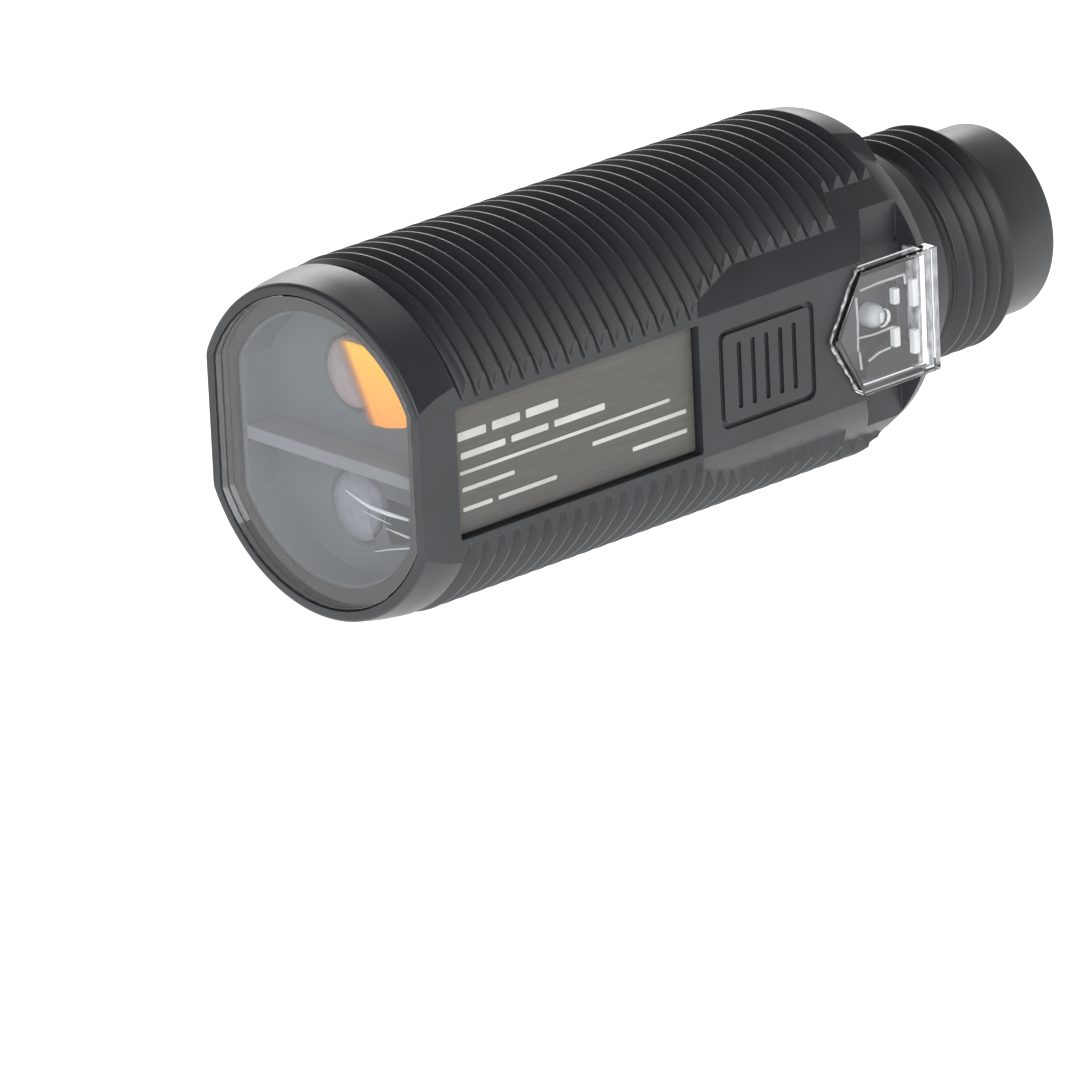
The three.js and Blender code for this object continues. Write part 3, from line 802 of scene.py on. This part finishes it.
def light_guide():
    """Clear wedge beside the receiver lens, with pale beads along its edges as painted glints."""
    first, last = stations("receiver_prism")
    wedge = along_y("receiver_wedge", WEDGE_OUTLINE, first, last)
    rounded(wedge, 0.12, segments=3, angle=60)
    prong = along_y("prong", PRONG_OUTLINE, first, first + PRONG_DEPTH)
    combine(wedge, prong, "UNION")
    finish_piece(wedge, PRISM_PLASTIC, ["receiver_prism"])

    # Painted highlights: near-white beads just ahead of the wedge, where its edges glint.
    for number, glint_path in enumerate(GUIDE_GLINTS):
        points = [(x, at(first - GLINT_AHEAD), z) for x, z, radius in glint_path]
        bead = tube(f"guide_glint_{number + 1}", points, [radius for x, z, radius in glint_path], 8)
        finish_piece(bead, GLINT_PLASTIC, (), TUBE_SHARP)


# ------------------------ label
PRINT_THICKNESS = 0.02
RULE_HEIGHT = -0.2                # of the rule across the middle
RULE_HALF_WIDTH = 0.09
RULE_MARGINS = (0.4, 1.6)
# Plain bars that spell nothing: height of the row, thickness, and spans from the label's front edge.
PRINT_ROWS = [
    (1.65, 0.44, [(0.35, 2.2), (2.6, 4.4), (4.8, 6.9)]),
    (0.65, 0.34, [(0.5, 3.4), (3.8, 6.2), (6.6, 9.9)]),
    (-1.05, 0.22, [(0.5, 3.9), (9.0, 15.2)]),
    (-2.05, 0.22, [(0.5, 2.4), (2.8, 6.6), (11.6, 15.2)]),
]


def label():
    """Printed film with a rule and plain bars."""
    first, last = stations("label_plate")
    shape = rounded_rectangle((first, last), (LABEL_LOW.z, LABEL_HIGH.z), 0.18)
    film = along_x("label_film", shape, LABEL_LOW.x, LABEL_HIGH.x)
    rounded(film, 0.03, angle=60)
    finish_piece(film, LABEL_FILM, ["label_plate"])

    rule_span = (first + RULE_MARGINS[0], last - RULE_MARGINS[1])
    bars = [(rule_span, (RULE_HEIGHT - RULE_HALF_WIDTH, RULE_HEIGHT + RULE_HALF_WIDTH))]
    for centre, height, spans in PRINT_ROWS:
        for begin, end in spans:
            bars.append(((first + begin, first + end), (centre - height / 2, centre + height / 2)))
    vertices, faces = [], []
    for span, z in bars:
        corner = min(0.08, (z[1] - z[0]) / 3)
        outline = rounded_rectangle(span, z, corner)
        bar = along_x("bar", outline, LABEL_HIGH.x, LABEL_HIGH.x + PRINT_THICKNESS)
        start = len(vertices)
        vertices.extend(tuple(v.co) for v in bar.data.vertices)
        faces.extend(tuple(start + n for n in face.vertices) for face in bar.data.polygons)
        bpy.data.objects.remove(bar)
    finish_piece(mesh_object("label_print", vertices, faces), INK, ())


# ------------------------ indicator
COVER_POINT = 1.9                 # length of the cover's pointed end
COVER_UNDERSIDE = 7.05            # lowest x of its side walls
COVER_INSIDE = 7.45               # x of the underside of its top
COVER_SIDE = 0.35                 # thickness of its side walls
WELL_REAR = 33.5                  # station where the hollow under it ends
FOOT_START = 33.3
FOOT_HALF_HEIGHT = 3.1

LIGHT_WELL = ((5.6, 8), (29.8, 32.6), (-1.5, 1.5))
ARCH_PROFILE = [(0, 0), (1.9, 0), (1.9, 0.5), (1.82, 0.58), (0, 0.58)]
ARCH_X, ARCH_STATION, ARCH_Z = 6.34, 31.7, -2.95
ARCH_HALF = ((6, 8), (29, 34), (-2.8, 0))
LED_SHOULDER = 0.4
LED_SEGMENTS = 48
LIGHT_CORE = ((6.64, 6.78), (31.0, 31.22), (-0.2, 0.35))
# Painted highlight: a pale crescent on the status light's dome, where it would glint.
GLINT_ARC_X, GLINT_ARC_STATION, GLINT_ARC_RADIUS = 6.62, 31.25, 0.45
GLINT_ARC_ANGLES = range(-110, 71, 15)

# Milky ribs as (stations, z), and fine grey beads as (station, z) corners along the cover's inner edges,
# which are painted highlights; all under the cover.
COVER_RIBS = [
    ((31.35, 31.72), (0.8, 1.6)), ((31.3, 31.68), (-1.4, -0.4)),
    ((32.62, 33.0), (0.35, 1.75)), ((32.6, 32.98), (-2.1, -0.85)),
]
COVER_GLINT_LINES = [
    [(29.1, 2.15), (30.4, 2.22), (32.1, 2.2)],
    [(32.1, 2.2), (32.15, 1.7)],
    [(28.85, -0.25), (29.9, -0.33), (31.2, -0.28)],
    [(28.8, 1.85), (28.85, 0.6), (28.8, -0.9)],
    [(28.9, -1.0), (29.0, -1.9)],
    [(29.5, -1.6), (30.2, -1.35), (31.0, -1.3)],
]
EDGE_RADIUS = 0.06
BEAD_STEPS = 12                   # along each of its three stretches


def facing_x(x, station, z=0):
    """Matrix that turns a body made about the barrel's direction so that it points along +X."""
    return Matrix(((0, 1, 0, x - FRONT_FACE), (-1, 0, 0, at(station)), (0, 0, 1, z), (0, 0, 0, 1)))


def indicator():
    """Clear cover with its foot, ribs and bead, and the status light in its holder."""
    tip, rear = stations("indicator_window")
    half = COVER_HIGH.z
    shoulder = tip + COVER_POINT
    outline = pointed(tip, shoulder, rear, half)
    cover = along_x("indicator_cover", outline, COVER_UNDERSIDE, COVER_HIGH.x)
    rounded(cover, 0.07, angle=30)
    well = pointed(tip + 0.6, shoulder + 0.2, WELL_REAR, half - COVER_SIDE)
    cut(cover, along_x("well", well, COVER_UNDERSIDE - 0.15, COVER_INSIDE))
    finish_piece(cover, COVER_PLASTIC, ["indicator_window"])

    # Painted reflection: a streaked block under the cover's rear stands in for the light reflected
    # inside it.
    foot_x = (COVER_LOW.x, COVER_UNDERSIDE - 0.01)
    foot = block("cover_foot", foot_x, (FOOT_START, rear), (-FOOT_HALF_HEIGHT, FOOT_HALF_HEIGHT))
    rounded(foot, 0.08)
    finish_piece(foot, REFLECTION_STREAKS, ())
    indicator_ribs()
    sealing_bead(tip, shoulder, half)

    low, high = box_mm("led_carrier")
    carrier = block("light_carrier", (low.x, high.x), stations("led_carrier"), (low.z, high.z))
    cut(carrier, block("well", *LIGHT_WELL))
    rounded(carrier, 0.05)
    finish_piece(carrier, CARRIER_PLASTIC, ["led_carrier"])
    arch = turned("cable_arch", ARCH_PROFILE, FINE_SEGMENTS)
    arch.data.transform(facing_x(ARCH_X, ARCH_STATION, ARCH_Z))
    combine(arch, block("arch_half", *ARCH_HALF), "INTERSECT")
    # The arch takes the darkest black: painted shade for its place under the cover.
    finish_piece(arch, MASK_PLASTIC, ())
    status_light()


def status_light():
    """Domed status light with a bright core and a pale arc along its rim, a painted highlight."""
    low, high = box_mm("indicator_led")
    radius = high.z
    shoulder_x = low.x + LED_SHOULDER
    profile = [(0, low.x), (radius, low.x), (radius, shoulder_x)]
    profile += crown(radius, shoulder_x, high.x, 10)
    dome = turned("status_light", profile, LED_SEGMENTS)
    dome.data.transform(facing_x(0, (low.y + high.y) / 2 - FRONT_FACE))
    finish_piece(dome, LED_RESIN, ["indicator_led"])

    core = block("light_core", *LIGHT_CORE)
    rounded(core, 0.05, segments=3)
    finish_piece(core, RESIN, ())
    arc = [math.radians(angle) for angle in GLINT_ARC_ANGLES]
    centre_y = at(GLINT_ARC_STATION)
    radius = GLINT_ARC_RADIUS
    points = [(GLINT_ARC_X, centre_y + radius * math.cos(a), radius * math.sin(a)) for a in arc]
    radii = [0.03 + 0.07 * math.sin(math.pi * step / (len(arc) - 1)) for step in range(len(arc))]
    finish_piece(tube("dome_glint_arc", points, radii, 8), RESIN, (), TUBE_SHARP)


def indicator_ribs():
    """Milky ribs under the clear cover, and fine grey beads along its inner edges as painted highlights.
    """
    under = (COVER_INSIDE - 0.4, COVER_INSIDE - 0.01)
    for number, (span, z) in enumerate(COVER_RIBS):
        rib = block(f"cover_rib_{number + 1}", under, span, z)
        rounded(rib, 0.06, segments=3)
        finish_piece(rib, RESIN, ())
    for number, edge in enumerate(COVER_GLINT_LINES):
        points = [(COVER_INSIDE - EDGE_RADIUS, at(station), z) for station, z in edge]
        bead = tube(f"cover_glint_{number + 1}", points, [EDGE_RADIUS] * len(points), 8)
        finish_piece(bead, GLINT_GREY, (), TUBE_SHARP)


def sealing_bead(tip, shoulder, half):
    """Irregular clear bead along the two front edges of the cover."""
    random.seed(5)
    corners = [(shoulder + 0.5, half), (shoulder, half), (tip, 0), (shoulder, -half)]
    points, radii = [], []
    for (station, z), (next_station, next_z) in zip(corners, corners[1:]):
        for step in range(BEAD_STEPS):
            share = step / BEAD_STEPS
            wobble = random.uniform(-0.05, 0.05)
            points.append((
                HALF_ACROSS_FLATS + 0.02 + random.uniform(-0.04, 0.04),
                at(station + (next_station - station) * share) - 0.02 + wobble,
                z + (next_z - z) * share,
            ))
            radii.append(random.uniform(0.04, 0.11))
    bead = tube("sealing_bead", points, radii, 10)
    finish_piece(bead, BEAD_PLASTIC, (), TUBE_SHARP)


# ------------------------ plug
PLUG_START = PLUG_LOW.y - FRONT_FACE
PLUG_CREST = 5.82
PLUG_ROOT = 5.28
PLUG_FIRST_CREST = 36.4
PLUG_TURNS = 7
PLUG_COLUMNS = 128
PLUG_THREAD_ENDS = (37.5, 38.0, 41.5, 42.0)
NECK_END = 36.75                  # station where the plain neck falls to the thread's root
SLEEVE_RADIUS = 4.93
SOCKET_FLOOR = 34.6
SOCKET_RADIUS = 4.25
SOCKET_MOUTH = 4.4
PLUG_WELL = (4.3, 4.2)            # radius and half width of the hollow towards the barrel
PLUG_WELL_END = 33.4
PIN_WAY = [(0, 30), (3.4, 30), (3.4, 36), (0, 36)]
LIGHT_SEAT_X = (4.85, 9)
LIGHT_SEAT_END = 33.25
LIGHT_SEAT_HALF_HEIGHT = 2.45
KEY_HALF_WIDTH = 0.6
KEY_START = 37.3
KEY_HEIGHT = (3.55, 4.5)
INSERT_RADIUS = 4.19
PIN_COUNT = 4
PIN_RADIUS = 0.5
PIN_SEGMENTS = 32
PIN_TIP = 0.6                     # length of the rounded tip
PIN_HOLE = [(0, 30), (0.56, 30), (0.56, 40), (0, 40)]


def plug():
    """Plug body with its thread, open sleeve, socket and key."""
    outline = double_d(BORE_RADIUS - SEAT_GAP, BORE_FLAT - SEAT_GAP, ROUND_STEPS)
    body = along_y("plug_shell", outline, PLUG_START, BARREL_LENGTH)
    neck = turned("neck", [
        (0, BARREL_LENGTH - 1), (PLUG_CREST, BARREL_LENGTH - 1), (PLUG_CREST, NECK_END),
        (PLUG_CREST - 0.06, NECK_END + 0.15), (PLUG_ROOT, 37.35), (PLUG_ROOT, 41.9),
        (SLEEVE_RADIUS, 42.1), (SLEEVE_RADIUS, TOTAL_LENGTH - 0.3),
        (SLEEVE_RADIUS - 0.06, TOTAL_LENGTH - 0.1), (SLEEVE_RADIUS - 0.22, TOTAL_LENGTH),
        (0, TOTAL_LENGTH),
    ])
    profile = thread_profile(PLUG_CREST, PLUG_ROOT)
    thread = screw("plug_thread", profile, PLUG_FIRST_CREST, PLUG_TURNS, PLUG_COLUMNS)
    top, foot = PLUG_CREST + 0.05, PLUG_ROOT - 0.1
    rise, full, fall, end = PLUG_THREAD_ENDS
    envelope = turned("envelope", [
        (0, rise), (foot, rise), (top, full), (top, fall), (foot, end), (0, end),
    ])
    combine(thread, envelope, "INTERSECT")
    combine(neck, thread, "UNION")
    combine(body, neck, "UNION")
    cut(body, turned("socket", [
        (0, SOCKET_FLOOR), (SOCKET_RADIUS, SOCKET_FLOOR), (SOCKET_RADIUS, TOTAL_LENGTH - 0.15),
        (SOCKET_MOUTH, TOTAL_LENGTH + 0.001), (SOCKET_MOUTH, TOTAL_LENGTH + 1), (0, TOTAL_LENGTH + 1),
    ]))
    cut(body, along_y("well", double_d(*PLUG_WELL), PLUG_START - 1, PLUG_WELL_END))
    cut(body, turned("pin_way", PIN_WAY))
    seat_z = (-LIGHT_SEAT_HALF_HEIGHT, LIGHT_SEAT_HALF_HEIGHT)
    cut(body, block("light_seat", LIGHT_SEAT_X, (PLUG_START - 1, LIGHT_SEAT_END), seat_z))
    key_x = (-KEY_HALF_WIDTH, KEY_HALF_WIDTH)
    key = block("key", key_x, (KEY_START, TOTAL_LENGTH - 0.8), KEY_HEIGHT)
    rounded(key, 0.08)
    combine(body, key, "UNION")
    finish_piece(body, PLUG_PLASTIC, ["connector_body"], sharp=28)
    contacts()


def contacts():
    """Insert at the bottom of the socket and the round-tipped pins that stand in it."""
    first, last = stations("contact_carrier")
    insert = turned("socket_insert", [
        (0, first), (INSERT_RADIUS, first), (INSERT_RADIUS, last - 0.1), (INSERT_RADIUS - 0.1, last),
        (0, last),
    ])
    for number in range(1, PIN_COUNT + 1):
        pin = f"contact_pin_{number}"
        low, high = box_mm(pin)
        centre = ((low.x + high.x) / 2, (low.z + high.z) / 2)
        cut(insert, turned("pin_hole", PIN_HOLE, PIN_SEGMENTS, centre))
        first_pin, last_pin = stations(pin)
        shoulder = last_pin - PIN_TIP
        shaft = [(0, first_pin), (PIN_RADIUS, first_pin), (PIN_RADIUS, shoulder)]
        shaft += crown(PIN_RADIUS, shoulder, last_pin, 6)
        contact = turned(f"contact_{number}", shaft, PIN_SEGMENTS, centre)
        finish_piece(contact, CONTACT_GOLD, [pin])
    finish_piece(insert, PLUG_PLASTIC, ["contact_carrier"])


# ------------------------ pieces kept as they are in CAD
KEPT = {
    "window_gasket": RUBBER,
    "rear_seal": RUBBER,
    "emitter_diode": RESIN,
    "receiver_chip": EPOXY,
    "optics_board": LAMINATE,
    "main_board": LAMINATE,
    "controller_chip": EPOXY,
    "output_driver": EPOXY,
    "supply_regulator": EPOXY,
    "storage_capacitor": CERAMIC,
}


def paint_kept():
    """Gives the pieces that stay as they are in CAD their materials."""
    for name, material in KEPT.items():
        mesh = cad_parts[name].data
        mesh.materials.clear()
        mesh.materials.append(material)


# ------------------------ studio
CAMERA_AZIMUTH = 48.05
CAMERA_ELEVATION = 20.094
CAMERA_ROLL = -2.721
CAMERA_LENS = 439.8
CAMERA_DISTANCE = 623.15
CAMERA_AIM = Vector((7.97, -10.95, -4.05))

SKY_LOW, SKY_HIGH, SKY_FRONT = 1.2, 0.28, 0.10
SKY_BEHIND = (-0.5, 0.86, 0)      # direction of the bright part
FLOOR_REFLECTANCE = 0.3
FLOOR_GLOW = 1.2
FLOOR_HALF_SIZE = 3.0             # metres
FLOOR_BELOW = 0.00005             # metres under the lowest point of the object
# Name, place and square size in metres, and power in watts. All of them aim at the origin.
LAMPS = [
    ("overhead", (-0.1, 0.25, 0.55), 0.3, 0.35),
    ("behind", (-0.60, 0.42, 0.33), 0.4, 2.0),
    ("beside_camera", (0.56, -0.58, 0.30), 0.6, 4.4),
]


def camera():
    """Camera at the height, turn and distance that fit the object's outline."""
    azimuth, elevation = math.radians(CAMERA_AZIMUTH), math.radians(CAMERA_ELEVATION)
    back = Vector((
        math.sin(azimuth) * math.cos(elevation),
        -math.cos(azimuth) * math.cos(elevation),
        math.sin(elevation),
    ))
    level = Vector((math.cos(azimuth), math.sin(azimuth), 0))
    upright = back.cross(level)
    roll = math.radians(CAMERA_ROLL)
    right = level * math.cos(roll) + upright * math.sin(roll)
    up = back.cross(right)
    data = bpy.data.cameras.new("camera")
    data.sensor_width = 36
    data.lens = CAMERA_LENS
    data.clip_start = 0.01
    data.clip_end = 20
    obj = bpy.data.objects.new("camera", data)
    bpy.context.scene.collection.objects.link(obj)
    turn = Matrix((right, up, back)).transposed().to_4x4()
    obj.matrix_world = Matrix.Translation((CAMERA_AIM + back * CAMERA_DISTANCE) * MM) @ turn
    bpy.context.scene.camera = obj


def lamp(name, place, size, power):
    """Square area light that aims at the origin."""
    data = bpy.data.lights.new(name, "AREA")
    data.shape = "RECTANGLE"
    data.size, data.size_y = size, size
    data.energy = power
    obj = bpy.data.objects.new(name, data)
    bpy.context.scene.collection.objects.link(obj)
    obj.location = place
    obj.rotation_mode = "QUATERNION"
    obj.rotation_quaternion = (-Vector(place)).to_track_quat("-Z", "Y")


def blend_by(tree, source, start, end, first, second):
    """Socket that goes smoothly from the first value to the second as the source goes start to end."""
    share = tree.nodes.new("ShaderNodeMapRange")
    share.interpolation_type = "SMOOTHSTEP"
    share.inputs["From Min"].default_value = start
    share.inputs["From Max"].default_value = end
    tree.links.new(source, share.inputs["Value"])
    mix = tree.nodes.new("ShaderNodeMix")
    tree.links.new(share.outputs["Result"], mix.inputs["Factor"])
    floats = [socket for socket in mix.inputs if socket.type == "VALUE" and socket.name in "AB"]
    for socket, value in zip(floats, (first, second)):
        if isinstance(value, float):
            socket.default_value = value
        else:
            tree.links.new(value, socket)
    return [socket for socket in mix.outputs if socket.type == "VALUE"][0]


def sky(tree):
    """Bright low sky behind the object and to its left, darker overhead and dark elsewhere."""
    place = tree.nodes.new("ShaderNodeTexCoord")
    split = tree.nodes.new("ShaderNodeSeparateXYZ")
    tree.links.new(place.outputs["Generated"], split.inputs["Vector"])
    behind = tree.nodes.new("ShaderNodeVectorMath")
    behind.operation = "DOT_PRODUCT"
    behind.inputs[1].default_value = SKY_BEHIND
    tree.links.new(place.outputs["Generated"], behind.inputs[0])
    upwards = blend_by(tree, split.outputs["Z"], 0.15, 0.75, SKY_LOW, SKY_HIGH)
    strength = blend_by(tree, behind.outputs["Value"], -0.2, 0.75, SKY_FRONT, upwards)
    background = tree.nodes["Background"]
    tree.links.new(strength, background.inputs["Strength"])
    background.inputs["Color"].default_value = (1.0, 1.0, 1.0, 1)


def studio():
    """Sky, pale floor and lamps."""
    world = bpy.data.worlds.new("studio")
    bpy.context.scene.world = world
    world.use_nodes = True
    sky(world.node_tree)

    floor_z = CAD_BOX[0].z - FLOOR_BELOW
    half = FLOOR_HALF_SIZE
    corners = [(x, y, floor_z) for x, y in rectangle((-half, half), (-half, half))]
    mesh = bpy.data.meshes.new("floor")
    mesh.from_pydata(corners, [], [(0, 1, 2, 3)])
    floor = bpy.data.objects.new("floor", mesh)
    bpy.context.scene.collection.objects.link(floor)
    material = new_material("pale_floor", (FLOOR_REFLECTANCE,) * 3, 0.8, Emission_Strength=FLOOR_GLOW)
    principled(material).inputs["Emission Color"].default_value = (1, 1, 1, 1)
    mesh.materials.append(material)

    for name, place, size, power in LAMPS:
        lamp(name, place, size, power)
    bpy.context.scene.view_settings.view_transform = "Standard"


camera()
barrel()
sensing_face()
amber_sheet()
light_guide()
label()
indicator()
plug()
paint_kept()
studio()
